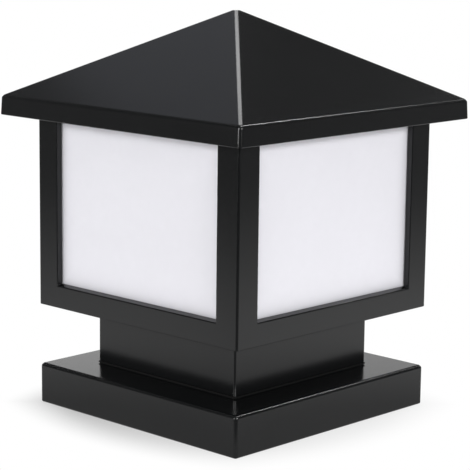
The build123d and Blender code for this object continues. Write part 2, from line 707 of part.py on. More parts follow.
# Terminal block: three poles in a row, a lead hole and a clamp screw for each
terminal_face = terminal_y + TERMINAL_WIDTH / 2
terminal_top = tray_top + TERMINAL_HEIGHT
lead_level = tray_top + LEAD_HEIGHT
poles = [TERMINAL_SHIFT + step * POLE_SPACING for step in (-1, 0, 1)]
pole_screw_y = terminal_y + POLE_SCREW_OFFSET

with BuildPart() as terminal_block:
    with BuildSketch(Plane.XY.offset(tray_top)):
        with Locations((TERMINAL_SHIFT, terminal_y)):
            RectangleRounded(TERMINAL_LENGTH, TERMINAL_WIDTH, TERMINAL_RADIUS)
        with Locations(fixing_spot):
            Circle(M3_RADIUS + HOLE_CLEARANCE, mode=Mode.SUBTRACT)
    extrude(amount=TERMINAL_HEIGHT)
    with BuildSketch(Plane.XZ.offset(-terminal_face)):
        with Locations(*[(x, lead_level) for x in poles]):
            Circle(LEAD_HOLE_RADIUS)
    extrude(amount=LEAD_DEPTH, mode=Mode.SUBTRACT)
    with BuildSketch(Plane.XY.offset(terminal_top)):
        with Locations(*[(x, pole_screw_y) for x in poles]):
            Circle(M3_RADIUS + THREAD_CLEARANCE)
    extrude(amount=-POLE_SCREW_LENGTH, mode=Mode.SUBTRACT)
write_piece(terminal_block, "terminal_block")

terminal_screws = m3_screws(seats([(x, pole_screw_y) for x in poles], terminal_top, 1), POLE_SCREW_LENGTH)
write_piece(terminal_screws, "terminal_screws")
terminal_fixing_length = TERMINAL_HEIGHT + TRAY_SHEET
terminal_fixing_screw = m3_screws(seats([fixing_spot], terminal_top, 1), terminal_fixing_length)
write_piece(terminal_fixing_screw, "terminal_fixing_screw")

# Lampholder bracket: a bridge over the leads, feet screwed to the tray
web_half = HOLDER_WEB / 2
with BuildPart() as holder_bracket:
    with BuildSketch(Plane.XZ.offset(-HOLDER_BRACKET_WIDTH / 2)):
        with BuildLine():
            Polyline(
                (-web_half - HOLDER_FOOT, tray_top),
                (-web_half + HOLDER_SHEET, tray_top),
                (-web_half + HOLDER_SHEET, holder_seat - HOLDER_SHEET),
                (web_half - HOLDER_SHEET, holder_seat - HOLDER_SHEET),
                (web_half - HOLDER_SHEET, tray_top),
                (web_half + HOLDER_FOOT, tray_top),
                (web_half + HOLDER_FOOT, tray_top + HOLDER_SHEET),
                (web_half, tray_top + HOLDER_SHEET),
                (web_half, holder_seat),
                (-web_half, holder_seat),
                (-web_half, tray_top + HOLDER_SHEET),
                (-web_half - HOLDER_FOOT, tray_top + HOLDER_SHEET),
                close=True,
            )
        make_face()
    extrude(amount=HOLDER_BRACKET_WIDTH)
    with BuildSketch(Plane.XY.offset(tray_top)):
        with GridLocations(2 * holder_foot_place, 0, 2, 1):
            Circle(M4_RADIUS + HOLE_CLEARANCE)
    extrude(amount=HOLDER_SHEET, mode=Mode.SUBTRACT)
    with BuildSketch(Plane.XY.offset(holder_seat)):
        with GridLocations(HOLDER_SCREW_SPACING, 0, 2, 1):
            Circle(M4_RADIUS + HOLE_CLEARANCE)
    extrude(amount=-HOLDER_SHEET, mode=Mode.SUBTRACT)
write_piece(holder_bracket, "holder_bracket")

foot_spots = [(-holder_foot_place, 0), (holder_foot_place, 0)]
holder_bracket_screws = m4_screws(seats(foot_spots, tray_top + HOLDER_SHEET, 1), HOLDER_SCREW_LENGTH)
write_piece(holder_bracket_screws, "holder_bracket_screws")

# Lampholder: porcelain body with a threaded shell's well, lead holes and screw holes
holder_lead_level = holder_seat + HOLDER_LEAD_HEIGHT
holder_lead_face = -sqrt(HOLDER_RADIUS**2 - (HOLDER_LEAD_SPACING / 2) ** 2)
with BuildPart() as lampholder_body:
    with BuildSketch(Plane.XY.offset(holder_seat)):
        Circle(HOLDER_RADIUS)
    extrude(amount=HOLDER_HEIGHT)
    with BuildSketch(Plane.XY.offset(socket_floor)):
        Circle(SHELL_BORE_RADIUS + SHELL_WALL + SHELL_GAP)
    extrude(amount=HOLDER_HEIGHT - HOLDER_FLOOR, mode=Mode.SUBTRACT)
    fillet(lampholder_body.faces().sort_by(Axis.Z)[-1].edges(), HOLDER_RIM_RADIUS)
    with BuildSketch(Plane.XZ.offset(-holder_lead_face - LEAD_DEPTH)):
        with Locations((0, holder_lead_level)):
            with GridLocations(HOLDER_LEAD_SPACING, 0, 2, 1):
                Circle(LEAD_HOLE_RADIUS)
    extrude(amount=HOLDER_RADIUS, mode=Mode.SUBTRACT)
    with BuildSketch(Plane.XY.offset(holder_seat)):
        with GridLocations(HOLDER_SCREW_SPACING, 0, 2, 1):
            Circle(M4_RADIUS + THREAD_CLEARANCE)
    extrude(amount=HOLDER_THREAD_DEPTH, mode=Mode.SUBTRACT)
write_piece(lampholder_body, "lampholder_body")

with BuildPart() as lampholder_shell:
    with BuildSketch(Plane.XY.offset(socket_floor)):
        Circle(SHELL_BORE_RADIUS + SHELL_WALL)
        Circle(SHELL_BORE_RADIUS, mode=Mode.SUBTRACT)
    extrude(amount=SHELL_HEIGHT)
write_piece(lampholder_shell, "lampholder_shell")

with BuildPart() as lampholder_contact:
    with BuildSketch(Plane.XY.offset(socket_floor)):
        Circle(CONTACT_RADIUS)
    extrude(amount=CONTACT_HEIGHT)
write_piece(lampholder_contact, "lampholder_contact")

holder_spots = [(-HOLDER_SCREW_SPACING / 2, 0), (HOLDER_SCREW_SPACING / 2, 0)]
holder_screw_length = HOLDER_SHEET + HOLDER_THREAD_DEPTH - THREAD_END_GAP
lampholder_screws = m4_screws(seats(holder_spots, holder_seat - HOLDER_SHEET, -1), holder_screw_length)
write_piece(lampholder_screws, "lampholder_screws")


# Leads inside the lantern
def lead(points):
    """Insulated lead along straight runs joined by bends."""
    with BuildPart() as wire:
        with BuildLine() as route:
            FilletPolyline(*points, radius=LEAD_BEND)
        with BuildSketch(Plane(origin=points[0], z_dir=Vector(*points[1]) - Vector(*points[0]))):
            Circle(LEAD_RADIUS)
        sweep(path=route.line)
    return wire


def holder_lead(pole, side):
    """Lead from a pole of the terminal block to a hole in the lampholder."""
    hole = side * HOLDER_LEAD_SPACING / 2
    return lead(
        [
            (pole, terminal_face - LEAD_DEPTH, lead_level),
            (pole, terminal_face + LEAD_STRAIGHT, lead_level),
            (hole, holder_lead_face - LEAD_STRAIGHT, holder_lead_level),
            (hole, holder_lead_face + LEAD_DEPTH, holder_lead_level),
        ]
    )


live_lead = holder_lead(poles[0], -1)
write_piece(live_lead, "live_lead")
neutral_lead = holder_lead(poles[1], 1)
write_piece(neutral_lead, "neutral_lead")

# Earth point: a ring tag with a barrel, screwed to the tray
barrel_level = tray_top + EARTH_BARREL_RADIUS
barrel_end = EARTH_X - EARTH_RING_RADIUS
barrel_start = barrel_end - EARTH_BARREL_LENGTH
earth_lead = lead(
    [
        (poles[2], terminal_face - LEAD_DEPTH, lead_level),
        (poles[2], terminal_face + LEAD_STRAIGHT, lead_level),
        (barrel_start - LEAD_STRAIGHT, EARTH_Y, barrel_level),
        (barrel_start + LEAD_DEPTH, EARTH_Y, barrel_level),
    ]
)
write_piece(earth_lead, "earth_lead")

with BuildPart() as earth_tag:
    with BuildSketch(Plane.XY.offset(tray_top)):
        with Locations((EARTH_X, EARTH_Y)):
            Circle(EARTH_RING_RADIUS)
        with Locations((barrel_end, EARTH_Y)):
            Rectangle(EARTH_RING_RADIUS, 2 * EARTH_BARREL_RADIUS)
        with Locations((EARTH_X, EARTH_Y)):
            Circle(M4_RADIUS + HOLE_CLEARANCE, mode=Mode.SUBTRACT)
    extrude(amount=EARTH_RING_SHEET)
    with BuildSketch(Plane(origin=(barrel_start, EARTH_Y, barrel_level), z_dir=(1, 0, 0))):
        Circle(EARTH_BARREL_RADIUS)
    extrude(amount=EARTH_BARREL_LENGTH)
    with BuildSketch(Plane(origin=(barrel_start, EARTH_Y, barrel_level), z_dir=(1, 0, 0))):
        Circle(LEAD_HOLE_RADIUS)
    extrude(amount=LEAD_DEPTH, mode=Mode.SUBTRACT)
write_piece(earth_tag, "earth_tag")

earth_screw = m4_screws(seats([(EARTH_X, EARTH_Y)], tray_top + EARTH_RING_SHEET, 1), EARTH_SCREW_LENGTH)
write_piece(earth_screw, "earth_screw")

# Bulb: tip contact, glass insulator, screw cap, housing and globe
insulator_bottom = bulb_tip + TIP_HEIGHT
cap_bottom = insulator_bottom + INSULATOR_HEIGHT
cap_top = cap_bottom + CAP_TURNS * CAP_PITCH + CAP_COLLAR
housing_shoulder = cap_top + BULB_NECK_HEIGHT
globe_bottom = housing_shoulder + HOUSING_HEIGHT
housing_lid = globe_bottom - HOUSING_TOP
housing_inside = HOUSING_RADIUS - HOUSING_WALL
bulb_neck_inside = BULB_NECK_RADIUS - HOUSING_WALL

with BuildPart() as bulb_tip_contact:
    with BuildSketch(Plane.XY.offset(bulb_tip)):
        Circle(TIP_RADIUS)
    extrude(amount=TIP_HEIGHT)
write_piece(bulb_tip_contact, "bulb_tip_contact")

with BuildPart() as bulb_insulator:
    with BuildSketch(Plane.XY.offset(insulator_bottom)):
        Circle(INSULATOR_RADIUS)
    with BuildSketch(Plane.XY.offset(cap_bottom)):
        Circle(CAP_ROOT_RADIUS)
    loft()
write_piece(bulb_insulator, "bulb_insulator")

# The cap's thread is drawn as rounded rings at the thread's pitch
with BuildPart() as bulb_cap:
    with BuildSketch(Plane.XZ):
        with BuildLine():
            ring_starts = [cap_bottom + turn * CAP_PITCH for turn in range(CAP_TURNS)]
            thread_top = cap_bottom + CAP_TURNS * CAP_PITCH
            for start in ring_starts:
                ThreePointArc(
                    (CAP_ROOT_RADIUS, start),
                    (CAP_CREST_RADIUS, start + CAP_PITCH / 2),
                    (CAP_ROOT_RADIUS, start + CAP_PITCH),
                )
            Polyline(
                (CAP_ROOT_RADIUS, thread_top),
                (CAP_CREST_RADIUS, thread_top),
                (CAP_CREST_RADIUS, cap_top),
                (CAP_ROOT_RADIUS - CAP_WALL, cap_top),
                (CAP_ROOT_RADIUS - CAP_WALL, cap_bottom),
                (CAP_ROOT_RADIUS, cap_bottom),
            )
        make_face()
    revolve(axis=Axis.Z)
write_piece(bulb_cap, "bulb_cap")

with BuildPart() as bulb_housing:
    with BuildSketch(Plane.XZ):
        with BuildLine():
            Polyline(
                (HOUSING_RADIUS, housing_lid),
                (HOUSING_RADIUS, globe_bottom),
                (0, globe_bottom),
                (0, housing_lid),
                (housing_inside, housing_lid),
            )
            TangentArc((bulb_neck_inside, housing_shoulder), (housing_inside, housing_lid), tangent=(0, 1))
            Polyline(
                (bulb_neck_inside, housing_shoulder),
                (bulb_neck_inside, cap_top),
                (BULB_NECK_RADIUS, cap_top),
                (BULB_NECK_RADIUS, housing_shoulder),
            )
            TangentArc((BULB_NECK_RADIUS, housing_shoulder), (HOUSING_RADIUS, housing_lid), tangent=(0, 1))
        make_face()
    revolve(axis=Axis.Z)
write_piece(bulb_housing, "bulb_housing")


def dome(radius, rise, bottom):
    """Half section of a dome: a straight foot under a quarter circle."""
    with BuildSketch(Plane.XZ) as section:
        with BuildLine():
            Polyline((0, bottom + rise), (0, bottom), (radius, bottom), (radius, bottom + rise - radius))
            RadiusArc((radius, bottom + rise - radius), (0, bottom + rise), -radius)
        make_face()
    return section.sketch


with BuildPart() as bulb_globe:
    revolve(dome(GLOBE_RADIUS, GLOBE_RISE, globe_bottom), axis=Axis.Z)
    revolve(
        dome(GLOBE_RADIUS - GLOBE_WALL, GLOBE_RISE - GLOBE_WALL, globe_bottom),
        axis=Axis.Z,
        mode=Mode.SUBTRACT,
    )
write_piece(bulb_globe, "bulb_globe")
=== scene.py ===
import json
from math import cos, pi, radians, sin

import bpy
import numpy as np
from mathutils import Matrix, Vector


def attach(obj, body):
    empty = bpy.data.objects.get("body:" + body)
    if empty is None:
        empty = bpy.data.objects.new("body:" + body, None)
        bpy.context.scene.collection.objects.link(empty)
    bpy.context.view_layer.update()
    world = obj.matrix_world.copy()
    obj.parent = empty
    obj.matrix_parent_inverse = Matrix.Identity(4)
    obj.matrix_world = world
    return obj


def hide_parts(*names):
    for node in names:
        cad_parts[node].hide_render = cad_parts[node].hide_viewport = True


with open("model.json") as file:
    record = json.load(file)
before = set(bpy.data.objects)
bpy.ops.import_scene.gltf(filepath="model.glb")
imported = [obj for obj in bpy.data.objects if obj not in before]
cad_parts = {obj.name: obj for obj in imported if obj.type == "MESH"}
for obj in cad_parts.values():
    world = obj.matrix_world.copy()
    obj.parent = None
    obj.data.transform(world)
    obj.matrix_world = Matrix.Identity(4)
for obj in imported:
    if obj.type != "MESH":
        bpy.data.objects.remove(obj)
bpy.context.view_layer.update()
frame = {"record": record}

scene = bpy.context.scene
MM = 0.001

# Sizes of the pieces that are drawn here, in millimetres as in the solids
NEAR_AXIS = 0.5  # where a section stops short of the axis, for a pole to close it
ROUND = 64  # points round a turned piece

# Roof
ROOF_HALF = 125.0
FOLD_HALF = 124.371
SKIRT_INSIDE = 122.0
LEDGE_INSIDE = 118.5
EAVE = 222.6
ROOF_SEAT = 230.0
FOLD = 237.0
PITCH = 0.5363
WALL_DROP = 2.837
CAP_HALF = 2.5
PEAK_ROUNDING = 0.4  # in plan, of the rings next to the axis
WIDEST_ROUNDING = 0.93  # share of a ring's half width that its corners may take
ROOF_SCREW_PLACE = 113.0
BOSS_RADIUS = 6.0
BOSS_CHAMFER = 0.4
BOSS_HOLE = 2.1
BOSS_BOTTOM = 230.3
BOSS_HOLE_END = 238.3
BOSS_POINTS = 32

# Lantern frame
BODY_HALF = 104.5
FRAME_INSIDE = 99.7
WINDOW_HALF = 83.65
OPENING_HALF = 56.0
FLANGE_HALF = 121.5
FRAME_LEVELS = (77.2, 80.2, 95.7, 220.2, 225.6, 228.6)
FLOOR_TOP, SILL, LINTEL, FLANGE_UNDER = FRAME_LEVELS[1:5]
SILL_FALL = 1.4
RIB_FACE = 131.57
RIB_ROOT = 142.45
RIB_WIDTH = 8.0

# Base and neck
BASE_INSIDE = 101.5
BASE_OPENING_HALF = 44.0
BASE_LEVELS = (0.0, 28.0, 31.0)
PLATE_UNDER, BASE_TOP = BASE_LEVELS[1:]
NECK_HALF = 72.5
NECK_INSIDE = 69.5
NECK_LEVELS = (32.5, 76.2)
PORT_PLACE = 65.0
PORT_RADIUS = 5.0
PORT_HOLE = 2.1
PORT_POINTS = 24

# Lampholder
HOLDER_RADIUS = 23.5
HOLDER_SEAT = 92.7
HOLDER_TOP = 136.7
WELL_RADIUS = 14.6
WELL_FLOOR = 103.7

# Bulb
CAP_BOTTOM = 111.3
CAP_TOP = 132.716
CAP_ROOT = 12.3
CAP_INSIDE = 11.7
CAP_ROWS = 120
CAP_POINTS = 96
THREAD_TOP = 125.816
THREAD_PITCH = 3.629
THREAD_DEPTH = 0.8
THREAD_START = 1.5  # height over which the thread rises from the root
THREAD_END = 0.8  # height over which it runs out into the collar
MOUTH_RADIUS = 12.3
HOUSING_NECK = 13.8
HOUSING_CHAMFER = 0.4
HOUSING_WALL = 1.5
SHOULDER = 138.216
FLARE_OUT = 14.7
FLARE_RISE = 32.0
LID_UNDER = 170.216
LID_INSIDE = 26.5
GLOBE_BOTTOM = 172.216
GLOBE_RADIUS = 30.0
GLOBE_RISE = 40.0
GLOBE_WALL = 1.2
ARC_POINTS = 24


# Shapes


def rounded_path(points, radii, segments=8, support=0.5):
    """A polyline with each inner corner replaced by an arc.

    With u and v the directions into and out of a corner and t = radius * tan(half the turn), the arc
    runs from corner - t*u to corner + t*v. Its points are the slerp of the two radii about the centre
    on the bisector. One point stands just before and one just after each arc, so that smooth shading
    leaves the straight runs flat.
    """
    points = np.asarray(points, float)
    radii = np.asarray(radii, float)[:, None]
    runs = np.diff(points, axis=0)
    runs /= np.linalg.norm(runs, axis=1)[:, None]
    before, after, corner = runs[:-1], runs[1:], points[1:-1]
    turn = np.arccos(np.clip((before * after).sum(axis=1), -1, 1))[:, None]
    tangent = radii * np.tan(turn / 2)
    bisector = after - before
    bisector = bisector / np.linalg.norm(bisector, axis=1)[:, None]
    centre = corner + bisector * radii / np.cos(turn / 2)
    start = (corner - tangent * before - centre)[:, None]
    end = (corner + tangent * after - centre)[:, None]
    share = np.linspace(0, 1, segments + 1)[None, :, None]
    angle = turn[:, None, :]
    arc = (np.sin((1 - share) * angle) * start + np.sin(share * angle) * end) / np.sin(angle)
    arc = arc + centre[:, None]
    lead_in = (corner - (tangent + support) * before)[:, None]
    lead_out = (corner + (tangent + support) * after)[:, None]
    rounded = np.concatenate([lead_in, arc, lead_out], axis=1)
    path = np.concatenate([points[:1], rounded.reshape(-1, 2), points[-1:]])
    return path, segments + 3


def square_rings(half, radius, segments=8, support=0.5):
    """Rounded squares, one per entry of half and radius, as an array of rings of (x, y).

    A corner's arc is (half - radius) + radius * (cos t, sin t) for t from 0 to a quarter turn, with one
    point on each side just beyond it. The other three corners are that one turned by quarter turns.
    """
    half, radius = half[:, None], radius[:, None]
    middle = half - radius
    step = np.minimum(support, 0.4 * middle)
    turn = np.linspace(0, pi / 2, segments + 1)[None]
    x = np.concatenate([half, middle + radius * np.cos(turn), middle - step], axis=1)
    y = np.concatenate([middle - step, middle + radius * np.sin(turn), half], axis=1)
    corners = ((x, y), (-y, x), (-x, -y), (y, -x))
    return np.concatenate([np.stack(corner, axis=2) for corner in corners], axis=1)


def band_faces(rings, count, closed=False):
    """Quads between neighbouring rings of count points, and from the last to the first if closed."""
    ring = np.arange(rings if closed else rings - 1)[:, None]
    point = np.arange(count)[None]
    here, following = ring * count, (ring + 1) % rings * count
    ahead = (point + 1) % count
    quads = [here + point, here + ahead, following + ahead, following + point]
    return np.stack(np.broadcast_arrays(*quads), axis=2).reshape(-1, 4)


def rings_about_axis(radius, height, angle):
    """Points (r cos a, r sin a, h) for radius r, angle a and height h, one ring after another."""
    rings = np.broadcast_arrays(radius * np.cos(angle), radius * np.sin(angle), height)
    return np.stack(rings, axis=2).reshape(-1, 3)


def turned(section, segments=ROUND, closed=False):
    """A section of (radius r, height h) carried round Z: (r cos a, r sin a, h), a over a full turn."""
    section = np.asarray(section, float)
    angle = np.linspace(0, 2 * pi, segments, endpoint=False)[None]
    points = rings_about_axis(section[:, :1], section[:, 1:], angle)
    return points, band_faces(len(section), segments, closed)


def pole_faces(points, ring_start, count, height, top):
    """A point on the axis and the triangles that close a ring on it, facing up or down."""
    points = np.concatenate([points, [[0, 0, height]]])
    here = ring_start + np.arange(count)
    ahead = ring_start + (np.arange(count) + 1) % count
    pole = np.full(count, len(points) - 1)
    order = (here, ahead, pole) if top else (ahead, here, pole)
    return points, np.stack(order, axis=1)


def mirrored_lines(*halves):
    """Grid lines at these distances on both sides of the axis, the widest first."""
    halves = np.array(halves)
    return np.concatenate([-halves, halves[::-1]])


def cell_middles(lines, levels):
    """For each cell of a square box grid: its larger and smaller distance from the axis, its height."""
    levels = np.array(levels)
    across = np.abs(lines[1:] + lines[:-1]) / 2
    height = (levels[1:] + levels[:-1]) / 2
    x, y, z = np.meshgrid(across, across, height, indexing="ij")
    return np.maximum(x, y), np.minimum(x, y), z


def cell_skin(x_lines, y_lines, z_lines, filled):
    """Skin of the filled cells of an uneven box grid.

    Along each axis in turn, the change from one cell to the next is 1 where the solid begins and -1
    where it ends. Every such place is one quad between four grid points, wound so that it faces the
    empty side.
    """
    shape = (len(x_lines), len(y_lines), len(z_lines))
    grid = np.stack(np.meshgrid(x_lines, y_lines, z_lines, indexing="ij"), axis=3).reshape(-1, 3)
    padded = np.pad(filled.astype(int), 1)
    quads = []
    for axis in range(3):
        change = np.diff(padded, axis=axis)
        inner = [slice(1, -1)] * 3
        inner[axis] = slice(None)
        change = change[tuple(inner)]
        place = np.argwhere(change != 0)
        ends = change[tuple(place.T)] < 0
        across, along = (axis + 1) % 3, (axis + 2) % 3
        corners = []
        for step_across, step_along in ((0, 0), (1, 0), (1, 1), (0, 1)):
            corner = place.copy()
            corner[:, across] += step_across
            corner[:, along] += step_along
            corners.append(np.ravel_multi_index(corner.T, shape))
        quad = np.stack(corners, axis=1)
        quads.append(np.where(ends[:, None], quad, quad[:, ::-1]))
    quads = np.concatenate(quads)
    used, renumbered = np.unique(quads, return_inverse=True)
    return grid[used], renumbered.reshape(quads.shape)


def joined(*shells):
    """Several shells of points and face sets as one, the faces as plain lists."""
    points, faces, offset = [], [], 0
    for shell_points, *face_sets in shells:
        points.append(shell_points)
        for face_set in face_sets:
            faces.extend((face_set + offset).tolist())
        offset += len(shell_points)
    return np.concatenate(points), faces


slot_of = {entry["node"]: entry["material_slot"] for entry in frame["record"]["subparts"]}


def make_piece(name, points, faces, body, slot, *nodes):
    """Puts a surface in millimetres into the scene as a smooth mesh that stands for CAD nodes."""
    mesh = bpy.data.meshes.new(name)
    mesh.from_pydata((np.asarray(points) * MM).tolist(), [], faces)
    mesh.polygons.foreach_set("use_smooth", np.ones(len(mesh.polygons), bool))
    mesh.update()
    piece = bpy.data.objects.new(name, mesh)
    scene.collection.objects.link(piece)
    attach(piece, body)
    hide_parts(*nodes)
    slot_of[name] = slot
    return piece


def round_edges(piece, radius_at, widest):
    """Rounds the sharp edges of a box-grid piece, each by its own radius in millimetres.

    An edge is sharp where its two faces' normals differ, which their sum's length shows. radius_at gets
    the edges' middles and directions and returns a radius for each, stored as a share of the widest.
    """
    mesh = piece.data
    ends = np.empty(2 * len(mesh.edges), int)
    mesh.edges.foreach_get("vertices", ends)
    place = np.empty(3 * len(mesh.vertices))
    mesh.vertices.foreach_get("co", place)
    place = place.reshape(-1, 3)[ends.reshape(-1, 2)] / MM
    middle, along = place.mean(axis=1), np.abs(place[:, 1] - place[:, 0])
    normals = np.empty(3 * len(mesh.polygons))
    mesh.polygons.foreach_get("normal", normals)
    sides = np.empty(len(mesh.polygons), int)
    mesh.polygons.foreach_get("loop_total", sides)
    loop_edges = np.empty(len(mesh.loops), int)
    mesh.loops.foreach_get("edge_index", loop_edges)
    total = np.zeros((len(mesh.edges), 3))
    np.add.at(total, loop_edges, np.repeat(normals.reshape(-1, 3), sides, axis=0))
    sharp = np.linalg.norm(total, axis=1) < 1.9
    weight = mesh.attributes.new("bevel_weight_edge", "FLOAT", "EDGE")
    weight.data.foreach_set("value", np.where(sharp, radius_at(middle, along) / widest, 0.0))
    bevel = piece.modifiers.new("rounded_edges", "BEVEL")
    bevel.limit_method = "WEIGHT"
    bevel.width = widest * MM
    bevel.segments = 4
    bevel.harden_normals = True


def on_outside(middle, half):
    """Whether a point lies on one of the four upright faces at that half width."""
    return np.isclose(np.abs(middle[:, :2]).max(axis=1), half, atol=0.01)


def upright_corner(middle, along, half):
    """Whether an edge is one of the four upright corners at that half width."""
    corner = np.isclose(np.abs(middle[:, :2]), half, atol=0.01).all(axis=1)
    return corner & (along[:, 2] > 0.01)


# Materials


def linear(hex_colour):
    """Linear RGBA of an sRGB hex colour."""
    share = np.array([int(hex_colour[i : i + 2], 16) for i in (1, 3, 5)]) / 255
    value = np.where(share <= 0.04045, share / 12.92, ((share + 0.055) / 1.055) ** 2.4)
    return (*map(float, value), 1.0)


def grey(brightness):
    """Linear RGBA of a grey."""
    return (brightness, brightness, brightness, 1.0)


def add_node(tree, kind, inputs=(), **settings):
    """Adds a node with its settings. Each input named gets a constant or a link from an output."""
    node = tree.nodes.new(kind)
    for name, value in settings.items():
        setattr(node, name, value)
    for socket, value in dict(inputs).items():
        if isinstance(value, bpy.types.NodeSocket):
            tree.links.new(value, node.inputs[socket])
        else:
            node.inputs[socket].default_value = value
    return node


def calculated(tree, operation, *values, **settings):
    """Output of a Math node on these values."""
    inputs = dict(enumerate(values))
    return add_node(tree, "ShaderNodeMath", inputs, operation=operation, **settings).outputs[0]


def remapped(tree, value, source, target, interpolation="LINEAR"):
    """Output of a Map Range node from the source range to the target range."""
    inputs = {"Value": value, "From Min": source[0], "From Max": source[1]}
    inputs |= {"To Min": target[0], "To Max": target[1]}
    node = add_node(tree, "ShaderNodeMapRange", inputs, interpolation_type=interpolation)
    return node.outputs["Result"]


def along_direction(tree, place, direction):
    """Output of a dot product: how far a place lies along a direction."""
    inputs = {0: place, 1: direction}
    node = add_node(tree, "ShaderNodeVectorMath", inputs, operation="DOT_PRODUCT")
    return node.outputs["Value"]


def folded_axes(tree, place):
    """Outputs X, Y and Z with a place's coordinates without their signs."""
    folded = add_node(tree, "ShaderNodeVectorMath", {0: place}, operation="ABSOLUTE")
    return add_node(tree, "ShaderNodeSeparateXYZ", {"Vector": folded.outputs["Vector"]}).outputs


def add_ramp(tree, factor, stops):
    """Colour output of a ramp through the stops, each a position and a linear colour."""
    ramp = add_node(tree, "ShaderNodeValToRGB", {"Fac": factor})
    elements = ramp.color_ramp.elements
    while len(elements) < len(stops):
        elements.new(0.5)
    for element, (position, colour) in zip(elements, stops):
        element.position = position
        element.color = colour
    return ramp.outputs["Color"]


CLOUD_MM = 30  # size of the slow changes of tint on every surface
TINT_SPAN = (0.1, 0.45)  # range of grain times cloud that goes from the dark to the light tint
GRAIN_SPAN = (0.3, 0.7)  # range of the grain that goes from the low to the high roughness


def grained(name, front_shade, light, grain_mm, stretch, rough, bump_mm, **constants):
    """A surface whose colour, gloss and relief follow one grain.

    grain_mm is the size of the grain, stretch makes it longer or shorter along x, y and z, rough is the
    range of roughness, bump_mm the height of the relief, and constants go straight to the shader.
    """
    material = bpy.data.materials.new(name)
    material.use_nodes = True
    tree = material.node_tree
    tree.nodes.clear()
    place = add_node(tree, "ShaderNodeTexCoord").outputs["Object"]
    laid = add_node(tree, "ShaderNodeMapping", {"Vector": place, "Scale": stretch}).outputs["Vector"]
    inputs = {"Vector": laid, "Scale": 1 / (grain_mm * MM), "Detail": 3.0}
    grain = add_node(tree, "ShaderNodeTexNoise", inputs).outputs["Fac"]
    inputs = {"Vector": place, "Scale": 1 / (CLOUD_MM * MM), "Detail": 2.0}
    cloud = add_node(tree, "ShaderNodeTexNoise", inputs).outputs["Fac"]
    both = calculated(tree, "MULTIPLY", grain, cloud)
    tint = add_ramp(tree, both, list(zip(TINT_SPAN, (linear(front_shade), linear(light)))))
    gloss = remapped(tree, grain, GRAIN_SPAN, rough)
    inputs = {"Height": grain, "Strength": 1.0, "Distance": bump_mm * MM}
    relief = add_node(tree, "ShaderNodeBump", inputs).outputs["Normal"]
    inputs = {"Base Color": tint, "Roughness": gloss, "Normal": relief, **constants}
    shader = add_node(tree, "ShaderNodeBsdfPrincipled", inputs)
    add_node(tree, "ShaderNodeOutputMaterial", {"Surface": shader.outputs["BSDF"]})
    return material


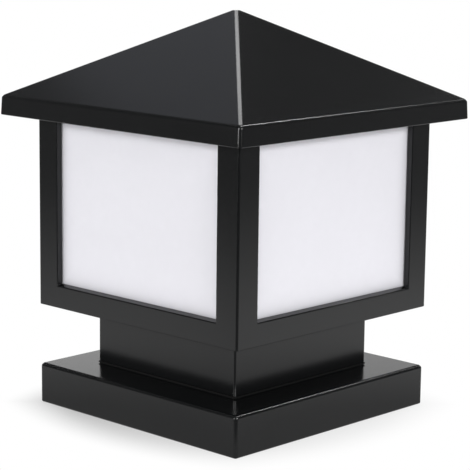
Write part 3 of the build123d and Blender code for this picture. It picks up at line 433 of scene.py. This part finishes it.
EVEN = (1.0, 1.0, 1.0)
METAL = {"Metallic": 1.0}
GLAZE = {"Coat Weight": 0.6}
FINISHES = {
    # Polyester powder baked on cast aluminium: deep satin black, faint orange peel of about 1.5 mm
    "black_powder_coat": grained(
        "powder_coated_cast_aluminium", "#0a0b0c", "#0e0f10", 1.5, EVEN, (0.18, 0.22), 0.001, IOR=1.5
    ),
    # Opal acrylic sheet, extruded: milky white with a soft gloss
    "opal_acrylic": grained(
        "opal_acrylic_extruded_sheet", "#e9e8ee", "#ebeaf0", 6.0, EVEN, (0.29, 0.32), 0.0004, IOR=1.49
    ),
    # EPDM rubber, moulded: dull black with a dusty grain
    "black_rubber": grained(
        "epdm_rubber_moulded", "#050505", "#090909", 0.8, EVEN, (0.65, 0.8), 0.02, IOR=1.3
    ),
    # Silicone, extruded strip: dull mid grey
    "grey_silicone": grained(
        "silicone_extruded", "#7c7c7c", "#8a8a8a", 0.8, EVEN, (0.55, 0.7), 0.01, IOR=1.41
    ),
    # Aluminium strip as rolled: pale grey with fine lines along its length
    "aluminium_strip": grained(
        "aluminium_mill_finish", "#b3b6b8", "#c6c9cb", 0.5, (1, 1, 0.05), (0.3, 0.42), 0.003, **METAL
    ),
    # Hot-dip zinc on steel sheet: bluish grey flakes a few millimetres wide
    "galvanised_steel": grained(
        "steel_sheet_galvanised", "#8f9498", "#b4b9bd", 5.0, EVEN, (0.3, 0.5), 0.004, **METAL
    ),
    # Stainless steel, cold headed: grey, fairly bright
    "stainless_steel": grained(
        "stainless_steel_cold_headed", "#a2a2a0", "#b9b9b6", 0.6, EVEN, (0.29, 0.38), 0.003, **METAL
    ),
    # Nylon, moulded black: soft sheen with a fine grain
    "black_nylon": grained(
        "nylon_moulded_black", "#131313", "#1c1c1c", 0.6, EVEN, (0.45, 0.6), 0.01, IOR=1.53
    ),
    # Nylon, moulded natural: warm white
    "white_nylon": grained(
        "nylon_moulded_natural", "#dcd9cf", "#e6e3d9", 0.8, EVEN, (0.35, 0.5), 0.006, IOR=1.53
    ),
    # Brass, stamped: yellow with small colour changes from handling
    "brass": grained("brass_stamped", "#b08d42", "#c9a85c", 1.2, EVEN, (0.29, 0.4), 0.003, **METAL),
    # Copper, tinned: warm pale grey
    "tinned_copper": grained(
        "copper_tinned", "#b9b4aa", "#cdc8be", 0.8, EVEN, (0.29, 0.42), 0.003, **METAL
    ),
    # PVC sleeves, extruded: even colours with a waxy sheen
    "brown_pvc": grained(
        "pvc_extruded_brown", "#54301c", "#613a24", 0.7, EVEN, (0.35, 0.45), 0.004, IOR=1.53
    ),
    "blue_pvc": grained(
        "pvc_extruded_blue", "#2456a0", "#2d62ad", 0.7, EVEN, (0.35, 0.45), 0.004, IOR=1.53
    ),
    "green_pvc": grained(
        "pvc_extruded_green", "#4f8f2c", "#7cae38", 2.5, EVEN, (0.35, 0.45), 0.004, IOR=1.53
    ),
    # Porcelain, glazed: warm white under a clear hard gloss
    "white_porcelain": grained(
        "porcelain_glazed", "#e6e3dc", "#efece6", 2.0, EVEN, (0.12, 0.2), 0.004, IOR=1.5, **GLAZE
    ),
    # Nickel plate on a rolled brass cap: bright warm grey
    "nickel_plate": grained(
        "nickel_plated_rolled", "#b4b1aa", "#c8c5be", 0.8, EVEN, (0.16, 0.26), 0.002, **METAL
    ),
    # Glass, pressed: black and bright
    "black_glass": grained(
        "glass_pressed_black", "#060606", "#0b0b0b", 1.0, EVEN, (0.06, 0.14), 0.002, IOR=1.52
    ),
    # ABS, moulded white: satin
    "white_plastic": grained(
        "abs_moulded_white", "#e4e4e2", "#ececea", 0.8, EVEN, (0.3, 0.4), 0.005, IOR=1.54
    ),
    # Polycarbonate, moulded opal: soft white with a satin face
    "opal_plastic": grained(
        "polycarbonate_moulded_opal", "#f0f0ec", "#f6f6f2", 1.0, EVEN, (0.35, 0.45), 0.003, IOR=1.58
    ),
}
# Depth and reach of the painted shade in the window panels' colour next to the frame
EDGE_SHADE_DEPTH = 0.3
EDGE_SHADE_REACH_MM = 4.0


def paint_edge_shade(material):
    """Painted shade: darkens the window panels' colour next to the frame, where the jambs, sill and
    lintel shade them.

    At a distance d from the nearest edge of the window, jamb, sill or lintel, the colour is multiplied
    by 1 - depth * exp(-d / reach), a painted shade. On a panel the smaller of |x| and |y| runs from
    jamb to jamb.
    """
    tree = material.node_tree
    shader = tree.nodes["Principled BSDF"]
    tint = shader.inputs["Base Color"].links[0].from_socket
    place = folded_axes(tree, add_node(tree, "ShaderNodeTexCoord").outputs["Object"])
    sideways = calculated(tree, "MINIMUM", place["X"], place["Y"])
    from_jamb = calculated(tree, "SUBTRACT", WINDOW_HALF * MM, sideways)
    from_sill = calculated(tree, "SUBTRACT", place["Z"], SILL * MM)
    from_lintel = calculated(tree, "SUBTRACT", LINTEL * MM, place["Z"])
    upright = calculated(tree, "MINIMUM", from_sill, from_lintel)
    inward = calculated(tree, "MINIMUM", from_jamb, upright)
    decay = calculated(tree, "MULTIPLY", inward, -1 / (EDGE_SHADE_REACH_MM * MM))
    decay = calculated(tree, "EXPONENT", decay, use_clamp=True)
    kept = calculated(tree, "MULTIPLY_ADD", decay, -EDGE_SHADE_DEPTH, 1.0)
    edge_shaded = add_node(tree, "ShaderNodeVectorMath", {0: tint, "Scale": kept}, operation="SCALE")
    tree.links.new(edge_shaded.outputs["Vector"], shader.inputs["Base Color"])


# Painted shade next to the window frame, in the opal panels' colour
paint_edge_shade(FINISHES["opal_acrylic"])


# Roof: one section carried round rounded squares, from the inside of the peak over the lip to the top
def slope(half):
    """Height of the outer slope at a distance from the axis."""
    return FOLD + (FOLD_HALF - half) * PITCH


roof_section = [
    (NEAR_AXIS, slope(CAP_HALF) - WALL_DROP),
    (CAP_HALF, slope(CAP_HALF) - WALL_DROP),
    (LEDGE_INSIDE, slope(LEDGE_INSIDE) - WALL_DROP),
    (LEDGE_INSIDE, ROOF_SEAT),
    (SKIRT_INSIDE, ROOF_SEAT),
    (SKIRT_INSIDE, EAVE),
    (ROOF_HALF, EAVE),
    (FOLD_HALF, FOLD),
    (CAP_HALF, slope(CAP_HALF)),
    (NEAR_AXIS, slope(CAP_HALF)),
]
# For each corner of the section: its own radius, and the radius of the square's corners there
section_radii = (0.5, 0.8, 0.4, 0.4, 0.5, 0.6, 3.0, 1.0)
plan_radii = (0.8, 0.8, 0.8, 0.8, 0.8, 2.4, 2.4, 2.35)
stations, per_corner = rounded_path(roof_section, section_radii)
plan = np.concatenate([[PEAK_ROUNDING], np.repeat(plan_radii, per_corner), [PEAK_ROUNDING]])
plan = np.minimum(plan, WIDEST_ROUNDING * stations[:, 0])
rings = square_rings(stations[:, 0], plan)
ring_count = rings.shape[1]
levels = np.broadcast_to(stations[:, None, 1:], (*rings.shape[:2], 1))
roof_points = np.concatenate([rings, levels], axis=2).reshape(-1, 3)
roof_faces = band_faces(len(stations), ring_count)
last_ring = (len(stations) - 1) * ring_count
roof_points, under_peak = pole_faces(roof_points, 0, ring_count, stations[0, 1], False)
roof_points, over_peak = pole_faces(roof_points, last_ring, ring_count, stations[-1, 1], True)
# Screw bosses under the corners: their upper ends follow the slope, inside the roof's wall
boss_section = [
    (BOSS_HOLE, BOSS_HOLE_END),
    (BOSS_HOLE, BOSS_BOTTOM),
    (BOSS_RADIUS - BOSS_CHAMFER, BOSS_BOTTOM),
    (BOSS_RADIUS, BOSS_BOTTOM + BOSS_CHAMFER),
    (BOSS_RADIUS, FOLD),
]
boss, boss_faces = turned(boss_section, BOSS_POINTS)
upper_rim = len(boss) - BOSS_POINTS
boss, hole_end = pole_faces(boss, 0, BOSS_POINTS, BOSS_HOLE_END, False)
boss, boss_end = pole_faces(boss, upper_rim, BOSS_POINTS, FOLD, True)
upper = np.r_[upper_rim : upper_rim + BOSS_POINTS, len(boss) - 1]
bosses = []
for corner in ((-1, -1, 0), (-1, 1, 0), (1, -1, 0), (1, 1, 0)):
    placed = boss + ROOF_SCREW_PLACE * np.array(corner)
    placed[upper, 2] = slope(np.abs(placed[upper, :2]).max(axis=1)) - WALL_DROP / 2
    bosses.append((placed, boss_faces, hole_end, boss_end))
points, faces = joined((roof_points, roof_faces, under_peak, over_peak), *bosses)
make_piece("roof_casting", points, faces, "roof", "black_powder_coat", "roof")

# Lantern frame: walls with windows, floor and flange on a box grid, and a rib across each corner
lines = mirrored_lines(FLANGE_HALF, BODY_HALF, FRAME_INSIDE, WINDOW_HALF, OPENING_HALF)
reach, nearest, z = cell_middles(lines, FRAME_LEVELS)
wall = (reach < BODY_HALF) & (reach > FRAME_INSIDE)
window = (nearest < WINDOW_HALF) & (z > SILL) & (z < LINTEL)
floor_plate = (reach < BODY_HALF) & (reach > OPENING_HALF) & (z < FLOOR_TOP)
flange = (reach > FRAME_INSIDE) & (z > FLANGE_UNDER)
filled = (wall & ~window) | floor_plate | flange
skin = cell_skin(lines, lines, np.array(FRAME_LEVELS), filled)
# The sills slope: their outer edges lie lower than their inner ones
across = np.abs(skin[0][:, :2])
outer_edge = np.isclose(across.max(axis=1), BODY_HALF) & (across.min(axis=1) < WINDOW_HALF + 0.01)
skin[0][outer_edge & np.isclose(skin[0][:, 2], SILL), 2] -= SILL_FALL
rib, rib_faces = cell_skin(
    np.array([RIB_FACE, RIB_ROOT]),
    np.array([-RIB_WIDTH / 2, RIB_WIDTH / 2]),
    np.array([FLOOR_TOP, FLANGE_UNDER]),
    np.ones((1, 1, 1), bool),
)
ribs = []
for quarter in (45, 135, 225, 315):
    c, s = cos(radians(quarter)), sin(radians(quarter))
    ribs.append((rib @ np.array([[c, s, 0], [-s, c, 0], [0, 0, 1]]), rib_faces))
points, faces = joined(skin, *ribs)
lantern = make_piece(
    "lantern_casting", points, faces, "lantern", "black_powder_coat", "lantern_frame"
)


def frame_radius(middle, along):
    """1.5 mm on the upright corners, 0.8 mm on the other outer edges, 0.4 mm elsewhere."""
    radius = np.where(on_outside(middle, BODY_HALF), 0.8, 0.4)
    return np.where(upright_corner(middle, along, BODY_HALF), 1.5, radius)


round_edges(lantern, frame_radius, 1.5)

# Base: plinth walls and a top plate with the cable's opening
lines = mirrored_lines(BODY_HALF, BASE_INSIDE, BASE_OPENING_HALF)
reach, _, z = cell_middles(lines, BASE_LEVELS)
filled = (reach > BASE_INSIDE) | ((z > PLATE_UNDER) & (reach > BASE_OPENING_HALF))
points, faces = joined(cell_skin(lines, lines, np.array(BASE_LEVELS), filled))
base = make_piece("base_casting", points, faces, "lantern", "black_powder_coat", "base")


def base_radius(middle, along):
    """2.8 mm on the upright corners and round the top, 1.5 mm round the foot, 0.5 mm elsewhere."""
    outer = on_outside(middle, BODY_HALF)
    top = outer & (middle[:, 2] > BASE_TOP - 0.01)
    radius = np.where(outer, 1.5, 0.5)
    return np.where(top | upright_corner(middle, along, BODY_HALF), 2.8, radius)


round_edges(base, base_radius, 2.8)

# Neck: square tube with a screw port in each corner
lines = mirrored_lines(NECK_HALF, NECK_INSIDE)
filled = np.ones((3, 3, 1), bool)
filled[1, 1] = False
skin = cell_skin(lines, lines, np.array(NECK_LEVELS), filled)
low, high = NECK_LEVELS
port_section = [(PORT_RADIUS, low), (PORT_RADIUS, high), (PORT_HOLE, high), (PORT_HOLE, low)]
port, port_faces = turned(port_section, PORT_POINTS, closed=True)
ports = [
    (port + np.array([x * PORT_PLACE, y * PORT_PLACE, 0]), port_faces)
    for x in (-1, 1)
    for y in (-1, 1)
]
points, faces = joined(skin, *ports)
neck = make_piece("neck_tube", points, faces, "lantern", "black_powder_coat", "neck")


def neck_radius(middle, along):
    """1.5 mm on the upright corners, 0.4 mm on the tube's other edges, none on the ports."""
    square = on_outside(middle, NECK_HALF) | on_outside(middle, NECK_INSIDE)
    radius = np.where(square, 0.4, 0.0)
    return np.where(upright_corner(middle, along, NECK_HALF), 1.5, radius)


round_edges(neck, neck_radius, 1.5)

# Lampholder body: glazed cylinder with a rounded rim and the shell's well
holder_section = [
    (NEAR_AXIS, HOLDER_SEAT),
    (HOLDER_RADIUS, HOLDER_SEAT),
    (HOLDER_RADIUS, HOLDER_TOP),
    (WELL_RADIUS, HOLDER_TOP),
    (WELL_RADIUS, WELL_FLOOR),
    (NEAR_AXIS, WELL_FLOOR),
]
section, _ = rounded_path(holder_section, (0.8, 2.0, 2.0, 0.4))
points, faces = turned(section)
last_ring = len(points) - ROUND
points, under = pole_faces(points, 0, ROUND, HOLDER_SEAT, False)
points, well = pole_faces(points, last_ring, ROUND, WELL_FLOOR, True)
points, faces = joined((points, faces, under, well))
make_piece("lampholder_porcelain", points, faces, "lantern", "white_porcelain", "lampholder_body")

# Bulb cap: the thread's radius swings between root and crest once per pitch and runs round as a helix
height = np.linspace(CAP_BOTTOM, CAP_TOP, CAP_ROWS)[:, None]
angle = np.linspace(0, 2 * pi, CAP_POINTS, endpoint=False)[None]
wave = 0.5 - 0.5 * np.cos(2 * pi * (height - CAP_BOTTOM) / THREAD_PITCH - angle)
run_in = np.clip((height - CAP_BOTTOM) / THREAD_START, 0, 1)
run_out = np.clip((THREAD_TOP + THREAD_END - height) / THREAD_END, 0, 1)
collar = np.clip((height - THREAD_TOP) / THREAD_END, 0, 1)
radius = CAP_ROOT + THREAD_DEPTH * np.maximum(wave * run_in * run_out, collar)
outside = rings_about_axis(radius, height, angle)
inside, _ = turned([(CAP_INSIDE, CAP_TOP), (CAP_INSIDE, CAP_BOTTOM)], CAP_POINTS)
shell = np.concatenate([outside, inside])
points, faces = joined((shell, band_faces(CAP_ROWS + 2, CAP_POINTS, closed=True)))
make_piece("bulb_cap_rolled", points, faces, "bulb", "nickel_plate", "bulb_cap")

# Bulb housing: neck, body flared along an arc of a circle and lid, open below
sweep = (FLARE_OUT**2 + FLARE_RISE**2) / (2 * FLARE_OUT)
climb = FLARE_RISE * np.linspace(0, 1, ARC_POINTS)
flare = HOUSING_NECK + sweep - np.sqrt(sweep**2 - climb**2)
outer = np.stack([flare, SHOULDER + climb], axis=1)
inner = np.stack([flare - HOUSING_WALL, SHOULDER + climb], axis=1)[::-1]
foot = [
    (MOUTH_RADIUS, CAP_TOP),
    (HOUSING_NECK - HOUSING_CHAMFER, CAP_TOP),
    (HOUSING_NECK, CAP_TOP + HOUSING_CHAMFER),
]
lid = [
    (28.5, 170.7),
    (28.5, 171.8),
    (28.3, 172.1),
    (27.9, GLOBE_BOTTOM),
    (NEAR_AXIS, GLOBE_BOTTOM),
]
under_lid = [(NEAR_AXIS, LID_UNDER), (LID_INSIDE, LID_UNDER)]
points, faces = turned(np.concatenate([foot, outer, lid]))
points, top = pole_faces(points, len(points) - ROUND, ROUND, GLOBE_BOTTOM, True)
within, within_faces = turned(np.concatenate([under_lid, inner, foot[:1]]))
within, ceiling = pole_faces(within, 0, ROUND, LID_UNDER, False)
points, faces = joined((points, faces, top), (within, within_faces, ceiling))
make_piece("bulb_housing_moulded", points, faces, "bulb", "white_plastic", "bulb_housing")


# Bulb globe: a straight foot under a quarter circle, outside and inside
def dome(radius, rise):
    """Section of the dome from its foot to just short of the axis."""
    turn = np.linspace(0, pi / 2, ARC_POINTS)[:-1]
    middle = GLOBE_BOTTOM + rise - radius
    arc = np.stack([radius * np.cos(turn), middle + radius * np.sin(turn)], axis=1)
    return np.concatenate([[(radius, GLOBE_BOTTOM)], arc])


inner = dome(GLOBE_RADIUS - GLOBE_WALL, GLOBE_RISE - GLOBE_WALL)[::-1]
points, faces = turned(np.concatenate([inner, dome(GLOBE_RADIUS, GLOBE_RISE)]))
last_ring = len(points) - ROUND
globe_top = GLOBE_BOTTOM + GLOBE_RISE
points, ceiling = pole_faces(points, 0, ROUND, globe_top - GLOBE_WALL, False)
points, crown = pole_faces(points, last_ring, ROUND, globe_top, True)
points, faces = joined((points, faces, ceiling, crown))
make_piece("bulb_globe_opal", points, faces, "bulb", "opal_plastic", "bulb_globe")

# Every node and every piece drawn here gets the finish of its slot
for name, slot in slot_of.items():
    mesh = bpy.data.objects[name].data
    mesh.materials.clear()
    mesh.materials.append(FINISHES[slot])

# Floor: white paper that keeps the light's shadow near it and runs out to plain white, in metres
FLOOR_RADIUS = 12.0
FLOOR_HEIGHT = -0.0002
FLOOR_POINTS = 96
SHADOW_FADE = (0.21, 0.31)  # square reach plus distance where the shadow starts and ends its fade
SIDE = (0.7, 0.7, 0.0)  # to the right in the picture
SIDE_FADE = ((-0.12, 0.0), (0.34, 0.72))  # the shadow is deeper on the left
MIRROR_SPAN = 2.0  # distance from the axis that the mirrored pool's ramp covers
# Brightness of the mirrored paper at distances from the axis
MIRROR_POOL = (
    (0.15, 0.44),
    (0.3, 0.79),
    (0.5, 0.8),
    (0.65, 0.6),
    (0.8, 0.48),
    (1.2, 0.17),
    (1.9, 0.21),
)
MIRROR_GAIN = ((-0.4, 0.4), (0.97, 1.12))  # brighter on the right
TO_CAMERA = (0.692, -0.722, 0.0)
FRONT_DARK = ((0.165, 0.22), (1.0, 0.25))  # fall of the mirrored light towards the camera
angle = np.linspace(0, 2 * pi, FLOOR_POINTS, endpoint=False)
height = np.full(FLOOR_POINTS, FLOOR_HEIGHT)
rim = np.stack([FLOOR_RADIUS * np.cos(angle), FLOOR_RADIUS * np.sin(angle), height], axis=1)
disc = bpy.data.meshes.new("floor")
disc.from_pydata(rim.tolist(), [], [list(range(FLOOR_POINTS))])
floor = bpy.data.objects.new("floor", disc)
scene.collection.objects.link(floor)
paper = bpy.data.materials.new("paper_floor_white")
paper.use_nodes = True
tree = paper.node_tree
tree.nodes.clear()
path = add_node(tree, "ShaderNodeLightPath").outputs
place = add_node(tree, "ShaderNodeTexCoord").outputs["Object"]
away = add_node(tree, "ShaderNodeVectorMath", {0: place}, operation="LENGTH").outputs["Value"]
axes = folded_axes(tree, place)
spread = calculated(tree, "ADD", calculated(tree, "MAXIMUM", axes["X"], axes["Y"]), away)
aside = along_direction(tree, place, SIDE)
# The camera sees the lit paper through a share of plain white that grows outwards
faint = remapped(tree, aside, *SIDE_FADE)
seen = remapped(tree, spread, SHADOW_FADE, (faint, 1.0), "SMOOTHSTEP")
seen = calculated(tree, "MULTIPLY", seen, path["Is Camera Ray"])
# Glossy surfaces mirror a pool of light round the object instead
mirrored = calculated(tree, "MAXIMUM", path["Is Glossy Ray"], path["Is Transmission Ray"])
glow = calculated(tree, "MAXIMUM", seen, mirrored)
pool_stops = [(reach / MIRROR_SPAN, grey(brightness)) for reach, brightness in MIRROR_POOL]
pool = add_ramp(tree, calculated(tree, "MULTIPLY", away, 1 / MIRROR_SPAN), pool_stops)
mirror_level = calculated(tree, "MULTIPLY", pool, remapped(tree, aside, *MIRROR_GAIN))
# Beyond the front corner, towards the camera, the mirrored paper gets a painted shade, which the front
# corners mirror
front_shade = remapped(tree, along_direction(tree, place, TO_CAMERA), *FRONT_DARK, "SMOOTHSTEP")
mirror_level = calculated(tree, "MULTIPLY", mirror_level, front_shade)
inputs = {"Factor": path["Is Camera Ray"], "A": mirror_level, "B": 1.0}
level = add_node(tree, "ShaderNodeMix", inputs, data_type="FLOAT").outputs[0]
inputs = {"Color": linear("#ffffff"), "Strength": level}
white = add_node(tree, "ShaderNodeEmission", inputs).outputs["Emission"]
matt = add_node(tree, "ShaderNodeBsdfDiffuse", {"Color": linear("#bcbcbc")}).outputs["BSDF"]
surface = add_node(tree, "ShaderNodeMixShader", {0: glow, 1: matt, 2: white}).outputs["Shader"]
add_node(tree, "ShaderNodeOutputMaterial", {"Surface": surface})
floor.data.materials.append(paper)

# World: white behind the object, for reflections a bright band at the horizon under a dark ceiling
BAND_EDGE = (0.22, 0.42)
BEHIND = (-0.80, 0.60, 0.0)
CARD = ((0.0, 0.03), (0.65, 0.08), (0.925, 0.5), (0.98, 1.0), (0.995, 1.4))
CEILING_LEVEL = 0.07
world = bpy.data.worlds.new("studio")
scene.world = world
world.use_nodes = True
tree = world.node_tree
tree.nodes.clear()
path = add_node(tree, "ShaderNodeLightPath").outputs
direction = add_node(tree, "ShaderNodeTexCoord").outputs["Generated"]
rise = add_node(tree, "ShaderNodeSeparateXYZ", {"Vector": direction}).outputs["Z"]
band = remapped(tree, rise, BAND_EDGE, (1.0, 0.0), "SMOOTHSTEP")
behind = remapped(tree, along_direction(tree, direction, BEHIND), (-1.0, 1.0), (0.0, 1.0))
card = add_ramp(tree, behind, [(share, grey(brightness)) for share, brightness in CARD])
lit = calculated(tree, "MULTIPLY_ADD", band, card, CEILING_LEVEL)
inputs = {"Factor": path["Is Camera Ray"], "A": lit, "B": 1.0}
level = add_node(tree, "ShaderNodeMix", inputs, data_type="FLOAT").outputs[0]
inputs = {"Color": linear("#ffffff"), "Strength": level}
sky = add_node(tree, "ShaderNodeBackground", inputs).outputs["Background"]
add_node(tree, "ShaderNodeOutputWorld", {"Surface": sky})

# Soft boxes, each aimed at the middle of the object: direction, distance, sides in metres, watts, tint
MIDDLE = Vector((0, 0, 0.15))
LAMPS = {
    "hip_box": ((-0.479, 0.509, 0.90), 1.6, (0.62, 0.30), 2.1, "#ffffff"),
    "left_card": ((-0.65, 0.42, 0.74), 1.6, (0.80, 0.6), 0.39, "#eef2ff"),
    "right_strip": ((0.119, 0.703, 0.70), 4.0, (0.15, 0.35), 12.0, "#ffffff"),
    "front_fill": ((0.0, -0.92, 0.27), 2.2, (1.2, 0.5), 24.2, "#ffffff"),
    "right_fill": ((0.94, -0.06, 0.26), 2.2, (1.2, 0.5), 32.8, "#ffffff"),
    "left_fill": ((-0.94, 0.02, 0.34), 2.2, (1.2, 0.5), 13.0, "#ffffff"),
    "back_fill": ((0.0, 0.94, 0.34), 2.2, (1.2, 0.5), 13.0, "#ffffff"),
    "corner_strip": ((-0.36, -0.93, 0.06), 2.0, (0.06, 0.12), 6.0, "#ffffff"),
    "corner_spot": ((-0.47, -0.28, 0.84), 2.0, (0.1, 0.1), 4.0, "#ffffff"),
    "overhead": ((0.18, 0.25, 1.0), 2.2, (1.0, 1.0), 24.0, "#ffffff"),
}
for name, (toward, distance, sides, watts, tint) in LAMPS.items():
    lamp = bpy.data.lights.new(name, "AREA")
    lamp.shape = "RECTANGLE"
    lamp.size, lamp.size_y = sides
    lamp.energy = watts
    lamp.color = linear(tint)[:3]
    holder = bpy.data.objects.new(name, lamp)
    toward = Vector(toward).normalized()
    holder.location = MIDDLE + distance * toward
    holder.rotation_euler = toward.to_track_quat("Z", "Y").to_euler()
    scene.collection.objects.link(holder)

# Camera, fitted to the corner points of the photographed object
AZIMUTH, AIM, DOWN, ROLL = radians(43.76), radians(43.714), radians(10.53), radians(0.69)
DISTANCE, CAMERA_HEIGHT, FOCAL_MM, SENSOR_MM = 1.391, 0.3904, 142.19, 36.0
level_right = Vector((cos(AIM), sin(AIM), 0))
ahead = Vector((-sin(AIM) * cos(DOWN), cos(AIM) * cos(DOWN), -sin(DOWN)))
level_up = level_right.cross(ahead)
right = level_right * cos(ROLL) + level_up * sin(ROLL)
up = right.cross(ahead)
camera = bpy.data.cameras.new("camera")
camera.lens = FOCAL_MM
camera.sensor_width = SENSOR_MM
camera.sensor_fit = "HORIZONTAL"
viewer = bpy.data.objects.new("camera", camera)
matrix = Matrix((right, up, -ahead)).transposed().to_4x4()
matrix.translation = (sin(AZIMUTH) * DISTANCE, -cos(AZIMUTH) * DISTANCE, CAMERA_HEIGHT)
viewer.matrix_world = matrix
scene.collection.objects.link(viewer)
scene.camera = viewer
scene.view_settings.view_transform = "Standard"
